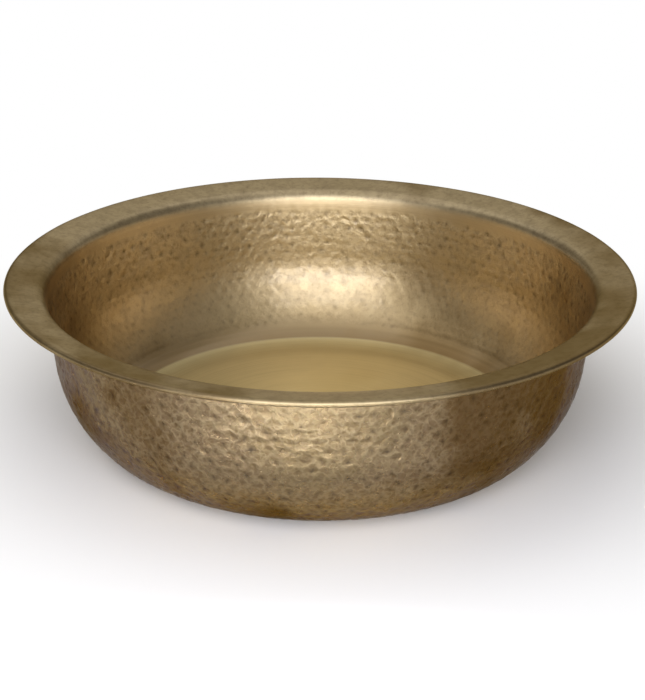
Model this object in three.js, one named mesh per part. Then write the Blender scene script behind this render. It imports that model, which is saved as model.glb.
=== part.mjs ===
// Brass foot bath basin. One beaten sheet makes the flat floor, the bowl, the upright wall, the flared flange and
// the edge, which is rolled under round a stiffening wire. Millimetres, +Z up. The origin is the middle of the
// underside, on the surface that the basin stands on.
import * as THREE from 'three';

// Driving dimensions
const RIM_DIAMETER = 430;
const HEIGHT = 118;
const SHEET_THICKNESS = 1;
const BASE_FLAT_DIAMETER = 260;
const KNUCKLE_RADIUS = 43;
const BOWL_RADIUS = 85;
const FLANGE_BEND_RADIUS = 8;
const WIRE_DIAMETER = 1.4;
const WIRE_CLEARANCE = 0.3;

// Slopes of the sheet above the horizontal, in degrees, where one stretch of its section passes into the next
const KNUCKLE_END_SLOPE = 47;
const WALL_SLOPE = 84;
const FLANGE_SLOPE = 10;
const CURL_TURN = 285;

// Fineness of the faceted surface
const SEGMENTS_AROUND = 72;
const KNUCKLE_STEPS = 5;
const BOWL_STEPS = 5;
const BEND_STEPS = 5;
const CURL_STEPS = 10;
const WIRE_SIDES = 8;

const curlRadius = WIRE_DIAMETER / 2 + WIRE_CLEARANCE + SHEET_THICKNESS / 2;
const beadRadius = curlRadius + SHEET_THICKNESS / 2;
const beadCentre = new THREE.Vector2(RIM_DIAMETER / 2 - beadRadius, HEIGHT - beadRadius);

// The middle of the sheet in section, followed outwards from the axis: each station is a place and a slope.
function station(r, z, slope) {
  return { place: new THREE.Vector2(r, z), slope };
}

function goStraight(path, length) {
  const { place, slope } = path.at(-1);
  path.push(station(place.x + length * Math.cos(slope), place.y + length * Math.sin(slope), slope));
}

// Turns through an arc until the sheet has the end slope: upwards where it grows, downwards where it falls.
function turnTo(path, radius, endSlope, steps) {
  const start = path.at(-1);
  const side = Math.sign(endSlope - start.slope);
  for (let step = 1; step <= steps; step += 1) {
    const slope = THREE.MathUtils.lerp(start.slope, endSlope, step / steps);
    const r = start.place.x + side * radius * (Math.sin(slope) - Math.sin(start.slope));
    const z = start.place.y + side * radius * (Math.cos(start.slope) - Math.cos(slope));
    path.push(station(r, z, slope));
  }
}

function sheetPath() {
  const wallSlope = THREE.MathUtils.degToRad(WALL_SLOPE);
  const flangeSlope = THREE.MathUtils.degToRad(FLANGE_SLOPE);
  const half = SHEET_THICKNESS / 2;
  const path = [station(0, half, 0)];
  goStraight(path, BASE_FLAT_DIAMETER / 2);
  turnTo(path, KNUCKLE_RADIUS - half, THREE.MathUtils.degToRad(KNUCKLE_END_SLOPE), KNUCKLE_STEPS);
  turnTo(path, BOWL_RADIUS - half, wallSlope, BOWL_STEPS);

  // The flange leaves the bead square above its centre. Bend, wall and flange close the way from the bowl to there.
  const wallFoot = path.at(-1).place;
  const flangeEnd = new THREE.Vector2(
    beadCentre.x - curlRadius * Math.sin(flangeSlope),
    beadCentre.y + curlRadius * Math.cos(flangeSlope),
  );
  const bend = new THREE.Vector2(
    FLANGE_BEND_RADIUS * (Math.sin(wallSlope) - Math.sin(flangeSlope)),
    FLANGE_BEND_RADIUS * (Math.cos(flangeSlope) - Math.cos(wallSlope)),
  );
  const rest = flangeEnd.clone().sub(wallFoot).sub(bend);
  const sine = Math.sin(wallSlope - flangeSlope);
  const wallLength = (rest.y * Math.cos(flangeSlope) - rest.x * Math.sin(flangeSlope)) / sine;
  const flangeLength = (rest.x * Math.sin(wallSlope) - rest.y * Math.cos(wallSlope)) / sine;
  goStraight(path, wallLength);
  turnTo(path, FLANGE_BEND_RADIUS, flangeSlope, BEND_STEPS);
  goStraight(path, flangeLength);
  turnTo(path, curlRadius, flangeSlope - THREE.MathUtils.degToRad(CURL_TURN), CURL_STEPS);
  return path;
}

// A point half a sheet away from the middle: side -1 is the underside of the sheet and 1 its upper side.
function sheetFace({ place, slope }, side) {
  const offset = (side * SHEET_THICKNESS) / 2;
  return new THREE.Vector2(place.x - offset * Math.sin(slope), place.y + offset * Math.cos(slope));
}

// Turns a section given as (radius, height) about the vertical axis.
function turned(section) {
  const geometry = new THREE.LatheGeometry(section, SEGMENTS_AROUND);
  geometry.rotateX(Math.PI / 2);
  return geometry;
}

function basinShell() {
  const path = sheetPath();
  const underside = path.map((stop) => sheetFace(stop, -1));
  const upperSide = path.map((stop) => sheetFace(stop, 1)).reverse();
  const material = new THREE.MeshStandardMaterial({ color: '#a68a56', roughness: 0.42, metalness: 1 });
  const mesh = new THREE.Mesh(turned([...underside, ...upperSide]), material);
  mesh.name = 'basin_shell';
  return mesh;
}

function rimWire() {
  const section = [];
  for (let side = 0; side <= WIRE_SIDES; side += 1) {
    const angle = ((side % WIRE_SIDES) / WIRE_SIDES) * 2 * Math.PI;
    const arm = new THREE.Vector2(Math.cos(angle), Math.sin(angle)).multiplyScalar(WIRE_DIAMETER / 2);
    section.push(beadCentre.clone().add(arm));
  }
  const material = new THREE.MeshStandardMaterial({ color: '#b89a5e', roughness: 0.35, metalness: 1 });
  const mesh = new THREE.Mesh(turned(section), material);
  mesh.name = 'rim_wire';
  return mesh;
}

const group = new THREE.Group();
group.add(basinShell(), rimWire());

export default group;
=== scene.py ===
# Foot bath basin of beaten brass. Metres, +Z up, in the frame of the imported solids.
import math

import bpy
from mathutils import Euler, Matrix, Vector


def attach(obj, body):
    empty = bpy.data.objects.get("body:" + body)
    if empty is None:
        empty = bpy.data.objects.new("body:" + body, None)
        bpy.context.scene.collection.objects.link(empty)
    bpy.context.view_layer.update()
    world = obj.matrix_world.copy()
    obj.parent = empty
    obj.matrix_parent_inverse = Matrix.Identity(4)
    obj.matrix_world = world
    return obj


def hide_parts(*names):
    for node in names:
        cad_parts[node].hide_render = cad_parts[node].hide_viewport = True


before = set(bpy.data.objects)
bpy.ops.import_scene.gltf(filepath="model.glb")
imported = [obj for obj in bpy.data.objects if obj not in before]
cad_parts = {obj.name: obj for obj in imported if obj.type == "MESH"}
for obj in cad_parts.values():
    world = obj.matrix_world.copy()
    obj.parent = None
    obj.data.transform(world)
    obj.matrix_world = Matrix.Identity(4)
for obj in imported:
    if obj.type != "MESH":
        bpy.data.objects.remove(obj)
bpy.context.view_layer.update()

# The camera stands a metre in front of the basin, half a metre up, and looks down on it with a long lens. It is
# turned a little about its own axis, as the picture is.
CAMERA_PLACE = (0, -1.012, 0.495)
CAMERA_PITCH_DOWN = math.radians(23.39)
CAMERA_TURN_RIGHT = math.radians(0.102)
CAMERA_ROLL = math.radians(0.37)
FILM_LENGTH = 36
LENS_LENGTH = 80.46

camera_data = bpy.data.cameras.new("view_from_the_front")
camera_data.sensor_width = FILM_LENGTH
camera_data.lens = LENS_LENGTH
camera = bpy.data.objects.new("view_from_the_front", camera_data)
camera.location = CAMERA_PLACE
aim = Euler((math.pi / 2 - CAMERA_PITCH_DOWN, 0, -CAMERA_TURN_RIGHT)).to_matrix()
camera.rotation_euler = (aim @ Euler((0, 0, CAMERA_ROLL)).to_matrix()).to_euler()
bpy.context.scene.collection.objects.link(camera)
bpy.context.scene.camera = camera

# Basin shell. One disc of sheet brass, a millimetre thick, raised into a bowl by hammering it round in courses,
# with the floor left flat and burnished and the flange drawn outwards. Its edge is rolled under round a wire.
# The radii of its bends are those of the middle of the sheet in section, and slopes are above the level.
MM = 0.001
SHEET = 1.0 * MM
RIM_RADIUS = 215 * MM
RIM_HEIGHT = 118 * MM
BASE_FLAT_RADIUS = 130 * MM
KNUCKLE_RADIUS = 42.5 * MM
BOWL_RADIUS = 84.5 * MM
BEND_RADIUS = 8 * MM
CURL_RADIUS = 1.5 * MM
BEAD_RADIUS = CURL_RADIUS + SHEET / 2
KNUCKLE_SLOPE = math.radians(47)
WALL_SLOPE = math.radians(84)
FLANGE_SLOPE = math.radians(10)
CURL_TURN = math.radians(285)


def sheet_lengths():
    """Lengths of wall and flange that bring the sheet from the bowl to the bead."""
    end_r = RIM_RADIUS - BEAD_RADIUS - CURL_RADIUS * math.sin(FLANGE_SLOPE)
    end_z = RIM_HEIGHT - BEAD_RADIUS + CURL_RADIUS * math.cos(FLANGE_SLOPE)
    foot_r = BASE_FLAT_RADIUS + KNUCKLE_RADIUS * math.sin(KNUCKLE_SLOPE)
    foot_r += BOWL_RADIUS * (math.sin(WALL_SLOPE) - math.sin(KNUCKLE_SLOPE))
    foot_z = SHEET / 2 + KNUCKLE_RADIUS * (1 - math.cos(KNUCKLE_SLOPE))
    foot_z += BOWL_RADIUS * (math.cos(KNUCKLE_SLOPE) - math.cos(WALL_SLOPE))
    rest_r = end_r - foot_r - BEND_RADIUS * (math.sin(WALL_SLOPE) - math.sin(FLANGE_SLOPE))
    rest_z = end_z - foot_z - BEND_RADIUS * (math.cos(FLANGE_SLOPE) - math.cos(WALL_SLOPE))
    sine = math.sin(WALL_SLOPE - FLANGE_SLOPE)
    wall = (rest_z * math.cos(FLANGE_SLOPE) - rest_r * math.sin(FLANGE_SLOPE)) / sine
    flange = (rest_r * math.sin(WALL_SLOPE) - rest_z * math.cos(WALL_SLOPE)) / sine
    return wall, flange


wall_length, flange_length = sheet_lengths()
# Stretches of the middle of the sheet, from the axis outwards: length and turn per metre.
stretches = [
    (BASE_FLAT_RADIUS, 0),
    (KNUCKLE_RADIUS * KNUCKLE_SLOPE, 1 / KNUCKLE_RADIUS),
    (BOWL_RADIUS * (WALL_SLOPE - KNUCKLE_SLOPE), 1 / BOWL_RADIUS),
    (wall_length, 0),
    (BEND_RADIUS * (WALL_SLOPE - FLANGE_SLOPE), -1 / BEND_RADIUS),
    (flange_length, 0),
    (CURL_RADIUS * CURL_TURN, -1 / CURL_RADIUS),
]
ends = [sum(length for length, _ in stretches[: i + 1]) for i in range(len(stretches))]
base_end, _, _, wall_end, bend_end, flange_end, curl_end = ends

# The blows: how many fall in one course round the basin, how many courses there are on each face, where along the
# sheet the courses begin and end, and how hard the first and the last of them are struck. A blow takes four steps
# of the mesh each way.
MARKS_AROUND = 128
STEPS_PER_MARK = 4
OUTER_COURSES = 20
OUTER_MARKS = (base_end + 2 * MM, wall_end - 1 * MM)
OUTER_FORCE = (0.8, 1.0)
INNER_COURSES = 15
INNER_MARKS = (258 * MM, 160 * MM)
INNER_FORCE = (0.75, 0.32)
# Nothing is struck on the flat underside and on the floor. Between the last course inside and the floor, the sheet
# has faint ripples: how far in from that course each crest or dip lies, and how high it stands, in millimetres.
UNDERSIDE_ROWS = (0, 62 * MM, 112 * MM, 125 * MM)
FOOT_RIPPLES = ((1.5, -0.08), (3, 0.1), (5, -0.08), (7, 0), (10, 0.03), (11.5, 0.07), (13, 0))
FLOOR_ROWS = (138 * MM, base_end, 100 * MM, 55 * MM, 0)


def sheet_point(along, side, lift=0.0):
    """Place (r, z) on a face of the sheet: side -1 is the underside and 1 the upper side."""
    r, z, slope = 0.0, SHEET / 2, 0.0
    for length, turn in stretches:
        step = min(length, along)
        end_slope = slope + turn * step
        if turn:
            r += (math.sin(end_slope) - math.sin(slope)) / turn
            z -= (math.cos(end_slope) - math.cos(slope)) / turn
        else:
            r += step * math.cos(slope)
            z += step * math.sin(slope)
        slope = end_slope
        along -= step
        if along <= 0:
            break
    offset = side * SHEET / 2 + lift
    return r - offset * math.sin(slope), z + offset * math.cos(slope)


def spread(start, end, count):
    """Evenly spaced values from start to end, without the start."""
    return [start + (end - start) * (i + 1) / count for i in range(count)]


# Every row of a section carries the same notes: how far along the sheet it lies, its step in the courses of blows
# (-1 where there are none), the length of that step, how hard the course is struck, how far it sways with the rim,
# and whether it is on the inner face.
SECTION_NOTES = (("along", "FLOAT"), ("step", "INT"), ("pitch", "FLOAT"), ("struck", "FLOAT"), ("sway", "FLOAT"),
                 ("inside", "FLOAT"))


def make_section(name, rows):
    """A chain of vertices from rows of r, z and the notes."""
    mesh = bpy.data.meshes.new(name)
    mesh.from_pydata([(r, 0, z) for r, z, *_ in rows], [(i, i + 1) for i in range(len(rows) - 1)], [])
    for column, (note, kind) in enumerate(SECTION_NOTES):
        layer = mesh.attributes.new(note, kind, "POINT")
        for i, row in enumerate(rows):
            layer.data[i].value = row[2 + column]
    return mesh


def shell_rows():
    """The closed section of the sheet, from the axis below, round the rolled edge, to the axis above."""
    rows = []

    def add_row(along, side, step=-1, pitch=1.0, struck=0.0, lift=0.0):
        r, z = sheet_point(along, side, lift)
        sway = min(1.0, max(0.0, (along - wall_end) / (bend_end - wall_end)))
        rows.append((max(r, 0.0), z, along, step, pitch, struck, sway, (side + 1) / 2))

    def add_courses(marks, courses, side, forces):
        """Blows fade in and out over two thirds of a course, and change in force over two thirds of the way."""
        start, end = marks
        first_force, last_force = forces
        steps = courses * STEPS_PER_MARK
        for step in range(steps + 1):
            fade = min(1.0, 1.5 * step / STEPS_PER_MARK, 1.5 * (steps - step) / STEPS_PER_MARK)
            force = first_force + (last_force - first_force) * min(1.0, 1.5 * step / steps)
            add_row(start + (end - start) * step / steps, side, step, abs(end - start) / steps, fade * force)

    for along in UNDERSIDE_ROWS:
        add_row(along, -1)
    add_courses(OUTER_MARKS, OUTER_COURSES, -1, OUTER_FORCE)
    for along in spread(OUTER_MARKS[1], bend_end, 4) + spread(bend_end, flange_end, 3):
        add_row(along, -1)
    for along in spread(flange_end, curl_end, 6):
        add_row(along, -1)
    for along in reversed(spread(flange_end, curl_end, 9)):
        add_row(along, 1)
    for along in reversed(spread(bend_end, flange_end, 4)):
        add_row(along, 1)
    for along in reversed(spread(wall_end, bend_end, 5)):
        add_row(along, 1)
    add_row(wall_end, 1)
    add_courses(INNER_MARKS, INNER_COURSES, 1, INNER_FORCE)
    for inwards, lift in FOOT_RIPPLES:
        add_row(INNER_MARKS[1] - inwards * MM, 1, lift=lift * MM)
    for along in FLOOR_ROWS:
        add_row(along, 1)
    return rows


# The kinds of node used most, by shorter names.
MATHS = "ShaderNodeMath"
VECTORS = "ShaderNodeVectorMath"
NOISE = "ShaderNodeTexNoise"
RANGE = "ShaderNodeMapRange"
NOTE = "GeometryNodeInputNamedAttribute"
STORE = "GeometryNodeStoreNamedAttribute"
SAMPLE = "GeometryNodeSampleIndex"


def add_node(tree, kind, inputs=(), give=None, **settings):
    """Adds a node and gives back the output named, or its first one in use. Inputs go by name or in order."""
    node = tree.nodes.new(kind)
    for name, value in settings.items():
        setattr(node, name, value)
    for key, value in inputs.items() if isinstance(inputs, dict) else enumerate(inputs):
        live = [s for s in node.inputs if s.enabled]
        socket = node.inputs[key] if isinstance(key, int) else next(s for s in live if key in (s.identifier, s.name))
        if isinstance(value, bpy.types.NodeSocket):
            tree.links.new(value, socket)
        else:
            socket.default_value = value
    live = [s for s in node.outputs if s.enabled]
    return next((s for s in live if give in (None, s.identifier, s.name)), None)


def beating_tree():
    """Turns a section about the axis and beats it with staggered courses of blows."""
    tree = bpy.data.node_groups.new("turned_and_beaten", "GeometryNodeTree")
    sockets = {}
    for name, kind, value in (
        ("Section", "NodeSocketGeometry", None),
        ("Marks Around", "NodeSocketInt", MARKS_AROUND),
        ("Steps Per Mark", "NodeSocketInt", STEPS_PER_MARK),
        ("Hollow Depth", "NodeSocketFloat", 0.30 * MM),
        ("Pit Depth", "NodeSocketFloat", 0.22 * MM),
        ("Pit Radius", "NodeSocketFloat", 3.2 * MM),
        ("Pit Spacing", "NodeSocketFloat", 7 * MM),
        ("Blow Size", "NodeSocketFloat", 10 * MM),
        ("Lump Height", "NodeSocketFloat", 1.0 * MM),
        ("Lump Size", "NodeSocketFloat", 4.8 * MM),
        ("Wander", "NodeSocketFloat", 5.0 * MM),
        ("Wander Length", "NodeSocketFloat", 10 * MM),
        ("Rim Sway", "NodeSocketFloat", 0.5 * MM),
        ("Rim Sway Length", "NodeSocketFloat", 75 * MM),
        ("Seed", "NodeSocketFloat", 7.0),
        ("Material", "NodeSocketMaterial", None),
    ):
        sockets[name] = tree.interface.new_socket(name, in_out="INPUT", socket_type=kind)
        if value is not None:
            sockets[name].default_value = value
    tree.interface.new_socket("Sheet", in_out="OUTPUT", socket_type="NodeSocketGeometry")
    given = tree.nodes.new("NodeGroupInput").outputs
    per_mark = given["Steps Per Mark"]
    half_mark = add_node(tree, MATHS, (per_mark, 2.0), operation="DIVIDE")

    # A grid with a column for each step round and a row for each vertex of the section.
    section = given["Section"]
    rows = add_node(tree, "GeometryNodeAttributeDomainSize", {"Geometry": section}, "Point Count", component="MESH")
    columns = add_node(tree, MATHS, (given["Marks Around"], per_mark), operation="MULTIPLY")
    lines_round = add_node(tree, MATHS, (columns, 1.0), operation="ADD")
    grid = add_node(tree, "GeometryNodeMeshGrid", {"Vertices X": lines_round, "Vertices Y": rows}, "Mesh")
    index = add_node(tree, "GeometryNodeInputIndex")
    middle = add_node(tree, MATHS, (index, 0.5), operation="ADD")

    # Between blows the sheet is left as a ridge, so each four-sided face is split along the way the ridge runs.
    face_rows = add_node(tree, MATHS, (rows, 1.0), operation="SUBTRACT")
    face_column = add_node(tree, MATHS, (middle, face_rows), operation="DIVIDE")
    face_column = add_node(tree, MATHS, (face_column,), operation="FLOOR")
    first_face = add_node(tree, MATHS, (face_column, face_rows), operation="MULTIPLY")
    face_row = add_node(tree, MATHS, (index, first_face), operation="SUBTRACT")
    step = add_node(tree, NOTE, {"Name": "step"}, data_type="INT")
    inputs = {"Geometry": section, "Value": step, "Index": face_row}
    face_step = add_node(tree, SAMPLE, inputs, data_type="INT", domain="POINT")
    face_course = add_node(tree, MATHS, (face_step, 0.5), operation="ADD")
    face_course = add_node(tree, MATHS, (face_course, per_mark), operation="DIVIDE")
    face_course = add_node(tree, MATHS, (face_course,), operation="FLOOR")
    odd_course = add_node(tree, MATHS, (face_course, 2.0), operation="MODULO")
    shifted = add_node(tree, MATHS, (odd_course, half_mark, face_column), operation="MULTIPLY_ADD")
    half_way = add_node(tree, MATHS, (half_mark, 0.5), operation="SUBTRACT")
    column_in_mark = add_node(tree, MATHS, (shifted, per_mark), operation="MODULO")
    row_in_mark = add_node(tree, MATHS, (face_step, per_mark), operation="MODULO")
    past_column = add_node(tree, MATHS, (column_in_mark, half_way), operation="GREATER_THAN")
    past_row = add_node(tree, MATHS, (row_in_mark, half_way), operation="GREATER_THAN")
    leaning = add_node(tree, MATHS, (past_column, past_row, 0.1), operation="COMPARE")
    straight = add_node(tree, MATHS, (1.0, leaning), operation="SUBTRACT")
    for chosen, way in ((leaning, "FIXED_ALTERNATE"), (straight, "FIXED")):
        grid = add_node(tree, "GeometryNodeTriangulate", {"Mesh": grid, "Selection": chosen}, quad_method=way)

    # The grid is rolled up about the axis, takes the notes of the section and is closed at the seam and the poles.
    column = add_node(tree, MATHS, (middle, rows), operation="DIVIDE")
    column = add_node(tree, MATHS, (column,), operation="FLOOR")
    first_row = add_node(tree, MATHS, (column, rows), operation="MULTIPLY")
    row = add_node(tree, MATHS, (index, first_row), operation="SUBTRACT")
    position = add_node(tree, "GeometryNodeInputPosition")
    inputs = {"Geometry": section, "Value": position, "Index": row}
    place = add_node(tree, SAMPLE, inputs, data_type="FLOAT_VECTOR", domain="POINT")
    part_round = add_node(tree, MATHS, (column, columns), operation="DIVIDE")
    angle = add_node(tree, MATHS, (part_round, 2 * math.pi), operation="MULTIPLY")
    rolled = add_node(tree, "ShaderNodeVectorRotate", {"Vector": place, "Angle": angle}, rotation_type="Z_AXIS")
    sheet = add_node(tree, "GeometryNodeSetPosition", {"Geometry": grid, "Position": rolled})
    notes = [("column", "FLOAT", column)]
    for name, kind in SECTION_NOTES:
        note = add_node(tree, NOTE, {"Name": name}, data_type=kind)
        inputs = {"Geometry": section, "Value": note, "Index": row}
        notes.append((name, kind, add_node(tree, SAMPLE, inputs, data_type=kind, domain="POINT")))
    for name, kind, value in notes:
        inputs = {"Geometry": sheet, "Name": name, "Value": value}
        sheet = add_node(tree, STORE, inputs, data_type=kind, domain="POINT")
    sheet = add_node(tree, "GeometryNodeMergeByDistance", {"Geometry": sheet, "Distance": 0.001 * MM})

    # Blows fall on every fourth step round, half a mark further on in every other course. A vertex lies between the
    # nearest blow and the next, and the hollow there depends on how far off it is from each.
    column = add_node(tree, NOTE, {"Name": "column"}, data_type="FLOAT")
    pitch = add_node(tree, NOTE, {"Name": "pitch"}, data_type="FLOAT")
    struck = add_node(tree, NOTE, {"Name": "struck"}, data_type="FLOAT")
    sway = add_node(tree, NOTE, {"Name": "sway"}, data_type="FLOAT")
    flat = add_node(tree, VECTORS, (position, (1, 1, 0)), operation="MULTIPLY")
    radius = add_node(tree, VECTORS, (flat,), operation="LENGTH")
    turn_length = add_node(tree, MATHS, (radius, 2 * math.pi), operation="MULTIPLY")
    round_pitch = add_node(tree, MATHS, (turn_length, columns), operation="DIVIDE")
    course = add_node(tree, MATHS, (step, 0.5), operation="ADD")
    course = add_node(tree, MATHS, (course, per_mark), operation="DIVIDE")
    course = add_node(tree, MATHS, (course,), operation="FLOOR")
    odd_course = add_node(tree, MATHS, (course, 2.0), operation="MODULO")
    shifted = add_node(tree, MATHS, (odd_course, half_mark, column), operation="MULTIPLY_ADD")
    arms = []
    for steps, one_step in ((shifted, round_pitch), (step, pitch)):
        steps = add_node(tree, MATHS, (steps, per_mark), operation="MODULO")
        steps = add_node(tree, MATHS, (steps, half_mark), operation="SUBTRACT")
        steps = add_node(tree, MATHS, (steps,), operation="ABSOLUTE")
        arms.append(add_node(tree, MATHS, (steps, one_step), operation="MULTIPLY"))
    off_round, off_along = arms
    mark = add_node(tree, MATHS, (round_pitch, per_mark), operation="MULTIPLY")
    course_height = add_node(tree, MATHS, (pitch, per_mark), operation="MULTIPLY")
    to_next_mark = add_node(tree, MATHS, (mark, off_round), operation="SUBTRACT")
    to_staggered = add_node(tree, MATHS, (mark, 0.5, off_round), operation="MULTIPLY")
    to_staggered = add_node(tree, MATHS, (to_staggered, off_round), operation="SUBTRACT")
    to_next_course = add_node(tree, MATHS, (course_height, off_along), operation="SUBTRACT")
    distances = []
    for across, down in ((off_round, off_along), (to_next_mark, off_along), (to_staggered, to_next_course)):
        arm = add_node(tree, "ShaderNodeCombineXYZ", {"X": across, "Y": down})
        distances.append(add_node(tree, VECTORS, (arm,), operation="LENGTH"))
    own, beside, above = distances
    nearest = add_node(tree, MATHS, (own, above), operation="MINIMUM")
    second = add_node(tree, MATHS, (own, above), operation="MAXIMUM")
    second = add_node(tree, MATHS, (second, beside), operation="MINIMUM")
    ratio = add_node(tree, MATHS, (nearest, second), operation="DIVIDE")
    hollow = add_node(tree, MATHS, (1.0, ratio), operation="SUBTRACT")

    # No two blows are alike: the force changes from one to the next, and they do not all leave a pit. The noise keeps
    # near one half, so it is the middle of its range that is spread over weak and strong blows.
    blow_scale = add_node(tree, MATHS, (1.0, given["Blow Size"]), operation="DIVIDE")
    force = add_node(tree, NOISE, {"Scale": blow_scale, "Detail": 1.0}, "Fac", noise_dimensions="3D")
    force = add_node(tree, RANGE, (force, 0.36, 0.64, 0.1, 1.25))
    force = add_node(tree, MATHS, (force, struck), operation="MULTIPLY")
    pit_scale = add_node(tree, MATHS, (1.0, given["Pit Spacing"]), operation="DIVIDE")
    inputs = {"W": given["Seed"], "Scale": pit_scale, "Detail": 0.0}
    sharpness = add_node(tree, NOISE, inputs, "Fac", noise_dimensions="4D")
    sharpness = add_node(tree, RANGE, (sharpness, 0.42, 0.66, 0.0, 1.0))
    sharpness = add_node(tree, MATHS, (sharpness, struck), operation="MULTIPLY")
    at_blow = add_node(tree, RANGE, (own, 0.0, given["Pit Radius"], 1.0, 0.0))
    between = add_node(tree, MATHS, (1.0, hollow), operation="SUBTRACT")
    for name, share, strength in (
        ("hollow", hollow, force),
        ("pit", at_blow, sharpness),
        ("ridge", between, struck),
    ):
        value = add_node(tree, MATHS, (share, strength), operation="MULTIPLY")
        inputs = {"Geometry": sheet, "Name": name, "Value": value}
        sheet = add_node(tree, STORE, inputs, data_type="FLOAT", domain="POINT")

    # The sheet gives under each blow, and older blows leave it lumpy all over.
    normal = add_node(tree, "GeometryNodeInputNormal", (), "Normal")
    hollow = add_node(tree, NOTE, {"Name": "hollow"}, data_type="FLOAT")
    pit = add_node(tree, NOTE, {"Name": "pit"}, data_type="FLOAT")
    lump_scale = add_node(tree, MATHS, (1.0, given["Lump Size"]), operation="DIVIDE")
    lumps = add_node(tree, NOISE, {"Scale": lump_scale, "Detail": 1.0}, "Fac")
    lumps = add_node(tree, MATHS, (lumps, 0.5), operation="SUBTRACT")
    lump_height = add_node(tree, MATHS, (given["Lump Height"], struck), operation="MULTIPLY")
    raised = add_node(tree, MATHS, (lumps, lump_height), operation="MULTIPLY")
    for depth, mark_made in ((given["Hollow Depth"], hollow), (given["Pit Depth"], pit)):
        sunk = add_node(tree, MATHS, (depth, mark_made), operation="MULTIPLY")
        raised = add_node(tree, MATHS, (raised, sunk), operation="SUBTRACT")
    shift = add_node(tree, VECTORS, {0: normal, 3: raised}, operation="SCALE")

    # The courses wander in the sheet's own surface, because no hand keeps them perfect. The noise less one half
    # reaches half a unit each way, so the size is doubled.
    wander_scale = add_node(tree, MATHS, (1.0, given["Wander Length"]), operation="DIVIDE")
    wander = add_node(tree, NOISE, {"Scale": wander_scale, "Detail": 1.0}, "Color")
    wander = add_node(tree, VECTORS, (wander, (0.5, 0.5, 0.5)), operation="SUBTRACT")
    out_of_sheet = add_node(tree, VECTORS, (wander, normal), "Value", operation="DOT_PRODUCT")
    out_of_sheet = add_node(tree, VECTORS, {0: normal, 3: out_of_sheet}, operation="SCALE")
    wander = add_node(tree, VECTORS, (wander, out_of_sheet), operation="SUBTRACT")
    gentle = add_node(tree, MATHS, (struck, 0.8), operation="MINIMUM")
    wander_size = add_node(tree, MATHS, (given["Wander"], gentle), operation="MULTIPLY")
    wander_size = add_node(tree, MATHS, (wander_size, 2.0), operation="MULTIPLY")
    wander = add_node(tree, VECTORS, {0: wander, 3: wander_size}, operation="SCALE")
    shift = add_node(tree, VECTORS, (shift, wander), operation="ADD")

    # The rim sways up and down a little on its way round.
    sway_scale = add_node(tree, MATHS, (1.0, given["Rim Sway Length"]), operation="DIVIDE")
    rise = add_node(tree, NOISE, {"Scale": sway_scale, "Detail": 1.0}, "Fac")
    rise = add_node(tree, MATHS, (rise, 0.5), operation="SUBTRACT")
    rise = add_node(tree, MATHS, (rise, given["Rim Sway"]), operation="MULTIPLY")
    rise = add_node(tree, MATHS, (rise, sway), operation="MULTIPLY")
    rise = add_node(tree, "ShaderNodeCombineXYZ", {"Z": rise})
    shift = add_node(tree, VECTORS, (shift, rise), operation="ADD")
    sheet = add_node(tree, "GeometryNodeSetPosition", {"Geometry": sheet, "Offset": shift})
    for name in ("column", "step", "pitch", "sway"):
        sheet = add_node(tree, "GeometryNodeRemoveAttribute", {"Geometry": sheet, "Name": name})
    sheet = add_node(tree, "GeometryNodeSetShadeSmooth", {"Geometry": sheet})
    sheet = add_node(tree, "GeometryNodeRealizeInstances", {"Geometry": sheet})
    sheet = add_node(tree, "GeometryNodeSetMaterial", {"Geometry": sheet, "Material": given["Material"]})
    result = tree.nodes.new("NodeGroupOutput")
    tree.links.new(sheet, result.inputs["Sheet"])
    return tree, sockets


def linear(hex_colour):
    """sRGB hex to linear red, green, blue and alpha."""
    parts = [int(hex_colour[i : i + 2], 16) / 255 for i in (1, 3, 5)]
    return [p / 12.92 if p <= 0.04045 else ((p + 0.055) / 1.055) ** 2.4 for p in parts] + [1.0]


# Beaten brass, aged and rubbed: brown and satin in the hollows, where the patina stays, and paler on the ridges
# between them, where cloths and feet have rubbed it off. The floor and the flange are burnished in fine rings.
brass = bpy.data.materials.new("beaten_brass_aged_and_rubbed")
brass.use_nodes = True
tree = brass.node_tree
tree.nodes.clear()
hollow, ridge, pit, beaten, along, inside = (
    add_node(tree, "ShaderNodeAttribute", (), "Fac", attribute_name=name)
    for name in ("hollow", "ridge", "pit", "struck", "along", "inside")
)
outside = add_node(tree, MATHS, (1.0, inside), operation="SUBTRACT")
place = add_node(tree, "ShaderNodeTexCoord", (), "Object")
# Tarnish lies in clouds a hand wide, in patches as wide as a blow, and in flecks. The fourth coordinate of the
# clouds is chosen so that the brown ones lie to the right of the front. There they are tarnish and also painted
# shade on that side, and the front is kept clean of them as a painted highlight. The sheet's own grain is too fine
# to show, and is drawn at 1.2 mm.
inputs = {"Vector": place, "W": 315.0, "Scale": 1 / (110 * MM), "Detail": 3.0, "Roughness": 0.6}
clouds = add_node(tree, NOISE, inputs, noise_dimensions="4D")
patches = add_node(tree, NOISE, {"Vector": place, "Scale": 1 / (8 * MM), "Detail": 2.0, "Roughness": 0.55})
flecks = add_node(tree, NOISE, {"Vector": place, "Scale": 1 / (3.0 * MM), "Detail": 3.0, "Roughness": 0.6})
grain = add_node(tree, NOISE, {"Vector": place, "Scale": 1 / (1.2 * MM), "Detail": 2.0, "Roughness": 0.6})
rubbed = add_node(tree, MATHS, (ridge, patches), operation="MULTIPLY")
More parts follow.
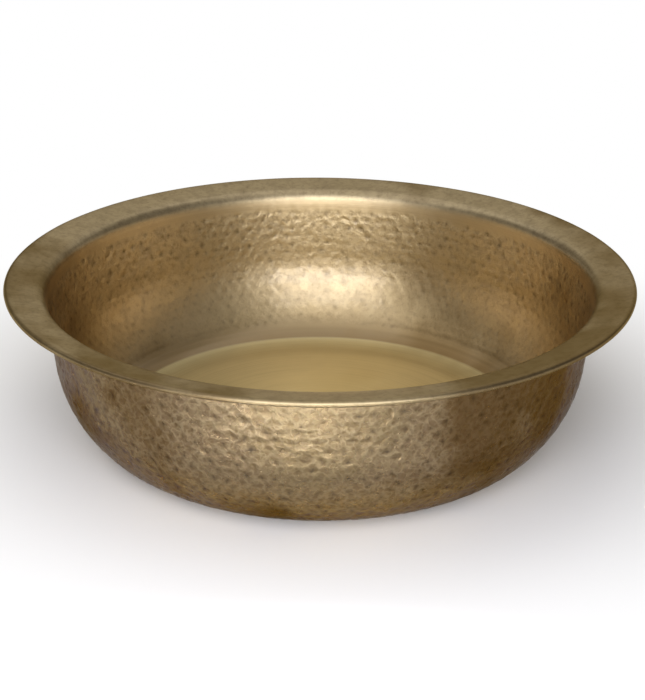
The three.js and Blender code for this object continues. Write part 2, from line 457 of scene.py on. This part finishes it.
# Small blows with the edge of the hammer leave fine crooked ridges every 4 to 5 mm: where this noise is halfway.
crooked = add_node(tree, NOISE, {"Vector": place, "Scale": 1 / (4.2 * MM), "Detail": 1.5, "Roughness": 0.5})
crooked = add_node(tree, MATHS, (crooked, 0.5), operation="SUBTRACT")
crooked = add_node(tree, MATHS, (crooked,), operation="ABSOLUTE")
crooked = add_node(tree, RANGE, (crooked, 0.0, 0.15, 1.0, 0.0), interpolation_type="SMOOTHSTEP")

# Rings left by burnishing. They change hardly at all the way round, and across the sheet every 0.9 mm, which is as
# fine as can show. Real ones are finer.
flat = add_node(tree, VECTORS, (place, (1, 1, 0)), operation="MULTIPLY")
round_about = add_node(tree, VECTORS, (flat,), operation="NORMALIZE")
across = add_node(tree, MATHS, (along, 1 / (0.9 * MM)), operation="MULTIPLY")
across = add_node(tree, "ShaderNodeCombineXYZ", {"Z": across})
ring_place = add_node(tree, VECTORS, (round_about, across), operation="ADD")
rings = add_node(tree, NOISE, {"Vector": ring_place, "Scale": 1.0, "Detail": 2.0, "Roughness": 0.6})
burnished = add_node(tree, RANGE, (beaten, 0.0, 0.3, 1.0, 0.0))
# Scrubbing keeps the floor the cleanest, and the inner wall cleaner than the outside.
FLOOR_EDGE = (125 * MM, 150 * MM)
scrubbed = add_node(tree, RANGE, (along, *FLOOR_EDGE, 0.12, 0.45))
aged = add_node(tree, RANGE, (inside, 0.0, 1.0, 1.0, scrubbed))
# Two faint dark lines run round the foot of the inner wall, where old polish has stayed here and there.
lines = None
for line_place in (157 * MM, 165 * MM):
    off = add_node(tree, MATHS, (along, line_place), operation="SUBTRACT")
    off = add_node(tree, MATHS, (off,), operation="ABSOLUTE")
    line = add_node(tree, RANGE, (off, 0.4 * MM, 2.6 * MM, 1.0, 0.0))
    lines = line if lines is None else add_node(tree, MATHS, (lines, line), operation="MAXIMUM")
polish = add_node(tree, RANGE, (clouds, 0.44, 0.54, 0.2, 1.0))
polish = add_node(tree, MATHS, (polish, inside), operation="MULTIPLY")
flange = add_node(tree, RANGE, (along, wall_end - 2 * MM, wall_end + 3 * MM, 0.0, 1.0))

# The bare sheet is darker outside than inside. Each row below lays a tint over it: as the value goes from low to
# high, the share of the tint grows from none to the most given, and where that is said, only there.
MIX = "ShaderNodeMix"
inputs = {"Factor_Float": inside, "A_Color": linear("#7A6446"), "B_Color": linear("#BFA67A")}
colour = add_node(tree, MIX, inputs, "Result_Color", data_type="RGBA")
for value, low, high, most, where, tint in (
    (along, 205 * MM, 150 * MM, 0.9, outside, "#A48745"),  # yellower low down outside
    # Painted shade: the row below darkens the foot of the inner wall, where it curves into the floor.
    (along, 175 * MM, 155 * MM, 0.75, inside, "#8A724A"),  # duller at the foot of the inner wall
    (along, 149 * MM, 147 * MM, 0.9, inside, "#D8C896"),  # paler from the edge of the floor inwards
    (along, 140 * MM, 120 * MM, 0.9, inside, "#E2D09C"),  # and palest on the floor
    (lines, 0.0, 1.0, 0.3, polish, "#6A5430"),  # old polish in the two lines
    (flange, 0.0, 1.0, 0.9, None, "#AC9B7A"),  # greyer on the flange
    (along, flange_end - 1 * MM, flange_end + 0.5 * MM, 0.5, None, "#7A6740"),  # browner on the rolled edge
    (patches, 0.45, 0.65, 0.3, flange, "#75664C"),  # dull patches on the flange
    (patches, 0.48, 0.66, 0.4, beaten, "#604B29"),  # brown patches among the blows
    (flecks, 0.50, 0.70, 0.55, beaten, "#523E1F"),  # dark flecks among the blows
    (crooked, 0.1, 1.0, 0.17, beaten, "#CDB98C"),  # pale crests of the crooked ridges
    (flecks, 0.48, 0.68, 0.3, flange, "#5E4E38"),  # dark flecks on the flange
    # Painted shade, partly real tarnish: the brown clouds darken the flange to the right of the front.
    (clouds, 0.47, 0.60, 0.35, flange, "#66563E"),  # tarnished stretches of the flange
    (rubbed, 0.3, 0.6, 0.06, None, "#DCCFB2"),  # ridges between blows, rubbed pale
    # Painted shade, partly real tarnish: the brown clouds darken the wall to the right of the front and leave the
    # front clean.
    (clouds, 0.49, 0.62, 0.74, aged, "#563D1D"),  # clouds of brown tarnish
    (clouds, 0.47, 0.37, 0.25, aged, "#7C6C3A"),  # olive between them
    (hollow, 0.3, 1.1, 0.35, None, "#6E5632"),  # patina kept in the hollows
    (rings, 0.45, 0.70, 0.12, burnished, "#7E6644"),  # rings left by burnishing
    (pit, 0.0, 0.9, 0.75, aged, "#3A2A14"),  # dirt in the pits
    (pit, 0.05, 0.6, 0.5, inside, "#4A381F"),  # which is wider spread inside
):
    share = add_node(tree, RANGE, (value, low, high, 0.0, most))
    if where is not None:
        share = add_node(tree, MATHS, (share, where), operation="MULTIPLY")
    inputs = {"Factor_Float": share, "A_Color": colour, "B_Color": linear(tint)}
    colour = add_node(tree, MIX, inputs, "Result_Color", data_type="RGBA")

# The hammer leaves the wall satin, a little rougher in patches and inside. Fine rings make the burnished parts, and
# the scrubbed floor most of all, rougher still.
rough = add_node(tree, RANGE, (patches, 0.35, 0.65, 0.26, 0.34))
rough = add_node(tree, MATHS, (inside, 0.13, rough), operation="MULTIPLY_ADD")
rings_rough = add_node(tree, RANGE, (along, *FLOOR_EDGE, 0.5, 0.4))
inputs = {"Factor_Float": burnished, "A_Float": rough, "B_Float": rings_rough}
rough = add_node(tree, MIX, inputs, "Result_Float", data_type="FLOAT")
bump = None
for height, where, strength, depth in (
    (crooked, beaten, 0.6, 0.12 * MM),
    (flecks, beaten, 0.7, 0.3 * MM),
    (grain, beaten, 0.35, 0.1 * MM),
    (rings, burnished, 0.3, 0.04 * MM),
):
    height = add_node(tree, MATHS, (height, where), operation="MULTIPLY")
    inputs = {"Strength": strength, "Distance": depth, "Height": height}
    if bump is not None:
        inputs["Normal"] = bump
    bump = add_node(tree, "ShaderNodeBump", inputs)
# Seen along the surface, beaten walls turn darker and browner. Burnished metal and the brown patches hardly do.
inputs = {"Factor_Float": burnished, "A_Color": linear("#968572"), "B_Color": linear("#CBB994")}
edge_tint = add_node(tree, MIX, inputs, "Result_Color", data_type="RGBA")
brown = add_node(tree, RANGE, (clouds, 0.5, 0.62, 0.0, 1.0))
brown = add_node(tree, MATHS, (brown, outside), operation="MULTIPLY")
inputs = {"Factor_Float": brown, "A_Color": edge_tint, "B_Color": linear("#BFAF98")}
edge_tint = add_node(tree, MIX, inputs, "Result_Color", data_type="RGBA")
# A thin film of old wax lies on the brass. Hands have worn it thinner on the flange, and hardly any is left where
# the sheet has tarnished brown.
WAX_OUTSIDE = 0.5
WAX_INSIDE = 0.8
WAX_ON_FLANGE = 0.28
WAX_ON_BROWN = 0.08
film = add_node(tree, RANGE, (inside, 0.0, 1.0, WAX_OUTSIDE, WAX_INSIDE))
film = add_node(tree, MATHS, (film, flange), operation="SUBTRACT")
film = add_node(tree, MATHS, (film, WAX_ON_FLANGE), operation="MAXIMUM")
wax = add_node(tree, RANGE, (clouds, 0.42, 0.6, film, WAX_ON_BROWN))
PRINCIPLED = "ShaderNodeBsdfPrincipled"
inputs = {"Base Color": colour, "Metallic": 1.0, "Roughness": rough, "Specular Tint": edge_tint, "Normal": bump}
wax_film = {"Coat Weight": wax, "Coat Roughness": 0.25, "Coat IOR": 1.6}
shader = add_node(tree, PRINCIPLED, inputs | wax_film)
add_node(tree, "ShaderNodeOutputMaterial", {"Surface": shader})

beating, beating_inputs = beating_tree()


def beat(name, rows, material):
    """Runs a section through the beating tree and keeps the result as a plain mesh."""
    section = bpy.data.objects.new(name + "_section", make_section(name + "_section", rows))
    bpy.context.scene.collection.objects.link(section)
    modifier = section.modifiers.new("turned_and_beaten", "NODES")
    modifier.node_group = beating
    modifier[beating_inputs["Material"].identifier] = material
    depsgraph = bpy.context.evaluated_depsgraph_get()
    mesh = bpy.data.meshes.new_from_object(section.evaluated_get(depsgraph))
    section.modifiers.remove(modifier)
    bpy.data.objects.remove(section)
    mesh.name = name
    piece = bpy.data.objects.new(name, mesh)
    bpy.context.scene.collection.objects.link(piece)
    return piece


shell = beat("beaten_shell", shell_rows(), brass)
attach(shell, "root")
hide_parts("basin_shell")

# Rim wire. A ring of drawn brass wire inside the rolled edge, which keeps the rim round and stiff. Nothing fixes it
# but the sheet, which is hammered round it, so it sways with the rim.
WIRE_RADIUS = 0.7 * MM
WIRE_SIDES = 10
# Nothing strikes the wire, and all of it sways with the rim.
wire_rows = []
for side in range(WIRE_SIDES + 1):
    turn = 2 * math.pi * (side % WIRE_SIDES) / WIRE_SIDES
    wire_r = RIM_RADIUS - BEAD_RADIUS + WIRE_RADIUS * math.cos(turn)
    wire_z = RIM_HEIGHT - BEAD_RADIUS + WIRE_RADIUS * math.sin(turn)
    wire_rows.append((wire_r, wire_z, WIRE_RADIUS * turn, -1, 1.0, 0.0, 1.0, 0.0))

# Drawn brass: smooth and even from the die, a little brighter than the sheet round it, and dulled in places.
drawn = bpy.data.materials.new("drawn_brass")
drawn.use_nodes = True
tree = drawn.node_tree
tree.nodes.clear()
place = add_node(tree, "ShaderNodeTexCoord", (), "Object")
tarnish = add_node(tree, NOISE, {"Vector": place, "Scale": 1 / (6 * MM), "Detail": 3.0})
TARNISH_RANGE = (0.4, 0.7)
share = add_node(tree, RANGE, (tarnish, *TARNISH_RANGE, 0.0, 0.6))
inputs = {"Factor_Float": share, "A_Color": linear("#C2A772"), "B_Color": linear("#8A6B3E")}
colour = add_node(tree, MIX, inputs, "Result_Color", data_type="RGBA")
rough = add_node(tree, RANGE, (tarnish, *TARNISH_RANGE, 0.28, 0.45))
shader = add_node(tree, PRINCIPLED, {"Base Color": colour, "Metallic": 1.0, "Roughness": rough})
add_node(tree, "ShaderNodeOutputMaterial", {"Surface": shader})

wire = beat("drawn_wire", wire_rows, drawn)
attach(wire, "root")
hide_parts("rim_wire")

# Floor and light. A pale floor that runs on into a white surround. Two soft lights stand in front of the basin, a
# large one hangs above it and a dim one stands behind. A narrow one lights the floor before it, which the wall shows.
FLOOR_HALF = 7
FLOOR_LEVEL = -0.1 * MM
# From the axis: where the paint begins to give way to white, and where all is white, as the camera sees it and as
# the brass mirrors it.
WHITE_START = 0.19
WHITE_SEEN = 0.45
WHITE_MIRRORED = 0.75

floor_mesh = bpy.data.meshes.new("floor")
corners = [(x * FLOOR_HALF, y * FLOOR_HALF, FLOOR_LEVEL) for x, y in ((-1, -1), (1, -1), (1, 1), (-1, 1))]
floor_mesh.from_pydata(corners, [], [(0, 1, 2, 3)])
floor = bpy.data.objects.new("floor", floor_mesh)
bpy.context.scene.collection.objects.link(floor)
floor_paint = bpy.data.materials.new("matt_pale_floor_paint")
floor_paint.use_nodes = True
tree = floor_paint.node_tree
tree.nodes.clear()
place = add_node(tree, "ShaderNodeTexCoord", (), "Object")
distance = add_node(tree, VECTORS, (place,), operation="LENGTH")
RAY = "ShaderNodeLightPath"
camera_ray = add_node(tree, RAY, (), "Is Camera Ray")
glossy_ray = add_node(tree, RAY, (), "Is Glossy Ray")
white_end = add_node(tree, RANGE, (camera_ray, 0.0, 1.0, WHITE_MIRRORED, WHITE_SEEN))
far = add_node(tree, RANGE, (distance, WHITE_START, white_end, 0.0, 1.0), interpolation_type="SMOOTHSTEP")
seen = add_node(tree, MATHS, (camera_ray, glossy_ray), operation="MAXIMUM")
through_ray = add_node(tree, RAY, (), "Is Transmission Ray")
seen = add_node(tree, MATHS, (seen, through_ray), operation="MAXIMUM")
white = add_node(tree, MATHS, (seen, far), operation="MULTIPLY")
paint = add_node(tree, PRINCIPLED, {"Base Color": linear("#F6F3EE"), "Roughness": 0.9})
glow = add_node(tree, "ShaderNodeEmission", {"Color": linear("#FFFFFF"), "Strength": 1.0})
surface = add_node(tree, "ShaderNodeMixShader", (white, paint, glow))
# Seen from below the floor is clear, and where the basin stands on it, it lets light through to the base.
CLEAR_UNDER_BASE = (116 * MM, 136 * MM)
below = add_node(tree, "ShaderNodeNewGeometry", (), "Backfacing")
shadow_ray = add_node(tree, RAY, (), "Is Shadow Ray")
to_base = add_node(tree, MATHS, (glossy_ray, shadow_ray), operation="MAXIMUM")
under_base = add_node(tree, RANGE, (distance, *CLEAR_UNDER_BASE, 1.0, 0.0))
to_base = add_node(tree, MATHS, (to_base, under_base), operation="MULTIPLY")
clear_share = add_node(tree, MATHS, (below, to_base), operation="MAXIMUM")
clear = add_node(tree, "ShaderNodeBsdfTransparent")
surface = add_node(tree, "ShaderNodeMixShader", (clear_share, surface, clear))
add_node(tree, "ShaderNodeOutputMaterial", {"Surface": surface})
floor_mesh.materials.append(floor_paint)

# A dim, slightly warm room lights the basin from all round. Where it is looked at, low down, it is plain white.
ROOM_STRENGTH = 0.21
world = bpy.data.worlds.new("room")
world.use_nodes = True
bpy.context.scene.world = world
tree = world.node_tree
tree.nodes.clear()
direction = add_node(tree, "ShaderNodeTexCoord", (), "Generated")
height = add_node(tree, "ShaderNodeSeparateXYZ", {"Vector": direction}, "Z")
low = add_node(tree, RANGE, (height, 0.02, 0.2, 1.0, 0.0), interpolation_type="SMOOTHSTEP")
seen = add_node(tree, RAY, (), "Is Camera Ray")
for ray in ("Is Glossy Ray", "Is Transmission Ray"):
    this_ray = add_node(tree, RAY, (), ray)
    seen = add_node(tree, MATHS, (seen, this_ray), operation="MAXIMUM")
white = add_node(tree, MATHS, (seen, low), operation="MULTIPLY")
strength = add_node(tree, RANGE, (white, 0.0, 1.0, ROOM_STRENGTH, 1.0))
inputs = {"Factor_Float": white, "A_Color": linear("#FFFBF5"), "B_Color": linear("#FFFFFF")}
tone = add_node(tree, MIX, inputs, "Result_Color", data_type="RGBA")
backdrop = add_node(tree, "ShaderNodeBackground", {"Color": tone, "Strength": strength})
add_node(tree, "ShaderNodeOutputWorld", {"Surface": backdrop})

# Each lamp: where it stands and what it is aimed at, its width and depth, its power in watts, the angle in degrees
# that its light spreads over, and its tone.
for name, place, aimed_at, width, depth, power, spread_angle, tone in (
    ("front_low_soft_light", (-0.06, -0.86, 0.28), (-0.06, 0, 0.2), 1.0, 0.36, 8.0, 180, "#EDF2FF"),
    ("front_high_soft_light", (-0.1, -0.86, 0.76), (-0.1, 0, 0.1), 0.92, 0.5, 5.0, 180, "#EDF2FF"),
    ("top_soft_light", (-0.3, 0.1, 1.5), (-0.05, 0.1, 0), 2.2, 1.9, 11, 180, "#FFFFFF"),
    ("back_soft_light", (0.35, 1.5, 1.05), (0, 0, 0.1), 2.0, 1.0, 3.4, 180, "#FFFFFF"),
    ("floor_light", (-0.08, -0.40, 0.42), (-0.08, -0.40, 0), 0.3, 0.08, 1.1, 36, "#EDF2FF"),
):
    lamp_data = bpy.data.lights.new(name, "AREA")
    lamp_data.shape = "RECTANGLE"
    lamp_data.size = width
    lamp_data.size_y = depth
    lamp_data.energy = power
    lamp_data.color = linear(tone)[:3]
    lamp_data.spread = math.radians(spread_angle)
    lamp = bpy.data.objects.new(name, lamp_data)
    lamp.location = place
    lamp.rotation_euler = (Vector(aimed_at) - Vector(place)).to_track_quat("-Z", "Y").to_euler()
    lamp.visible_camera = False
    bpy.context.scene.collection.objects.link(lamp)

bpy.context.scene.view_settings.view_transform = "Standard"
